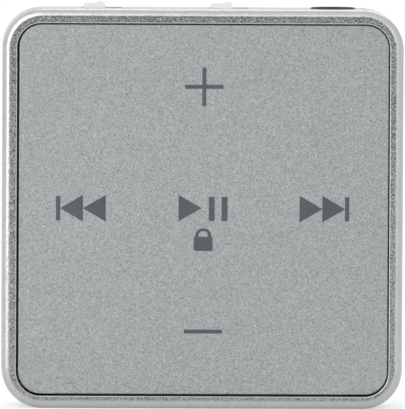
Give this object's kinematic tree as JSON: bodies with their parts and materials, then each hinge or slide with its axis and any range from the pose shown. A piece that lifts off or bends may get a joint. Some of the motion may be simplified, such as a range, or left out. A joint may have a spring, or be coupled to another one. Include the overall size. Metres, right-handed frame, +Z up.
{
  "type": "digital audio player",
  "caption": "Square clip-on digital audio player with a rocking one-piece key face, slide switches and a headphone jack on the top edge, and a sprung clip on the back.",
  "frame": {"origin": "middle of the bounding box, at the level of the flat bottom wall the player stands on", "axes": "+X to the right of someone looking at the key face, +Y from the key face towards the clip, +Z up along the headphone jack's axis"},
  "size_m": [0.0402, 0.0152, 0.0405],
  "materials": {
    "housing_lacquer": "silver metallic-flake lacquer on moulded plastic",
    "cover_plastic": "fine spark-eroded silver-grey plastic",
    "screw_steel": "nickel-plated steel",
    "face_aluminium": "bead-blasted clear-anodised aluminium",
    "symbol_ink": "dark grey pad-printed ink",
    "key_plastic": "dark grey moulded plastic",
    "cross_acetal": "natural acetal",
    "carrier_acetal": "natural acetal",
    "dome_steel": "thin stainless spring steel",
    "frame_plastic": "black glass-filled plastic",
    "board_laminate": "green solder mask",
    "chip_epoxy": "black epoxy",
    "crystal_can": "metal can",
    "passive_ceramic": "ceramic with tinned ends",
    "switch_can": "tinned steel can",
    "lever_plastic": "black plastic",
    "slider_lacquer": "pale silver-white lacquer",
    "jack_plastic": "black moulded plastic",
    "contact_gold": "gold-plated spring bronze",
    "usb_steel": "nickel-plated shell",
    "usb_plastic": "black tongue",
    "cell_foil": "laminated aluminium pouch",
    "tape_foam": "double-sided tape",
    "lead_red": "red insulation",
    "lead_black": "black insulation",
    "clip_lacquer": "silver metallic-flake lacquer on moulded plastic",
    "pin_steel": "steel pin",
    "spring_steel": "music wire"
  },
  "bodies": {
    "case": {"front_housing": "housing_lacquer", "rear_cover": "cover_plastic", "case_screws": "screw_steel", "metal_domes": "dome_steel", "inner_frame": "frame_plastic", "main_board": "board_laminate", "board_screws": "screw_steel", "audio_processor": "chip_epoxy", "flash_memory": "chip_epoxy", "crystal": "crystal_can", "charger_ic": "chip_epoxy", "passive_parts": "passive_ceramic", "power_switch": "switch_can", "mode_switch": "switch_can", "jack_socket": "jack_plastic", "jack_contacts": "contact_gold", "usb_shell": "usb_steel", "usb_tongue": "usb_plastic", "usb_contacts": "contact_gold", "battery_cell": "cell_foil", "battery_tape": "tape_foam", "battery_lead_red": "lead_red", "battery_lead_black": "lead_black", "clip_pin": "pin_steel", "clip_spring": "spring_steel"},
    "key_carrier": {"press_carrier": "carrier_acetal"},
    "key_gimbal": {"rocker_cross": "cross_acetal"},
    "face_key": {"face_plate": "face_aluminium", "printed_symbols": "symbol_ink", "key_base": "key_plastic"},
    "power_slide_knob": {"power_slider": "slider_lacquer", "power_switch_lever": "lever_plastic"},
    "mode_slide_knob": {"mode_slider": "slider_lacquer", "mode_switch_lever": "lever_plastic"},
    "clip": {"clip_lever": "clip_lacquer"}
  },
  "joints": [
    {"name": "play_press", "type": "slide", "parent": "case", "child": "key_carrier", "axis": [0, 1, 0], "range_m": [0, 0.00015], "stiffness_N_per_m": 3000, "deforming": ["metal_domes"]},
    {"name": "volume_tilt", "type": "hinge", "parent": "key_carrier", "child": "key_gimbal", "pos_m": [0.00008, -0.00465, 0.01994], "axis": [1, 0, 0], "range_deg": [-1.3, 1.3], "stiffness_Nm_per_rad": 0.4, "deforming": ["metal_domes"]},
    {"name": "track_tilt", "type": "hinge", "parent": "key_gimbal", "child": "face_key", "pos_m": [0.00008, -0.00465, 0.01994], "axis": [0, 0, 1], "range_deg": [-1.3, 1.3], "stiffness_Nm_per_rad": 0.4, "deforming": ["metal_domes"]},
    {"name": "power_slide", "type": "slide", "parent": "case", "child": "power_slide_knob", "axis": [1, 0, 0], "range_m": [0, 0.0015]},
    {"name": "mode_slide", "type": "slide", "parent": "case", "child": "mode_slide_knob", "axis": [1, 0, 0], "range_m": [0, 0.0015]},
    {"name": "clip_hinge", "type": "hinge", "parent": "case", "child": "clip", "pos_m": [0, 0.00455, 0.0295], "axis": [1, 0, 0], "range_deg": [0, 20], "stiffness_Nm_per_rad": 0.06, "springref_deg": -14.32, "deforming": ["clip_spring"]}
  ]
}
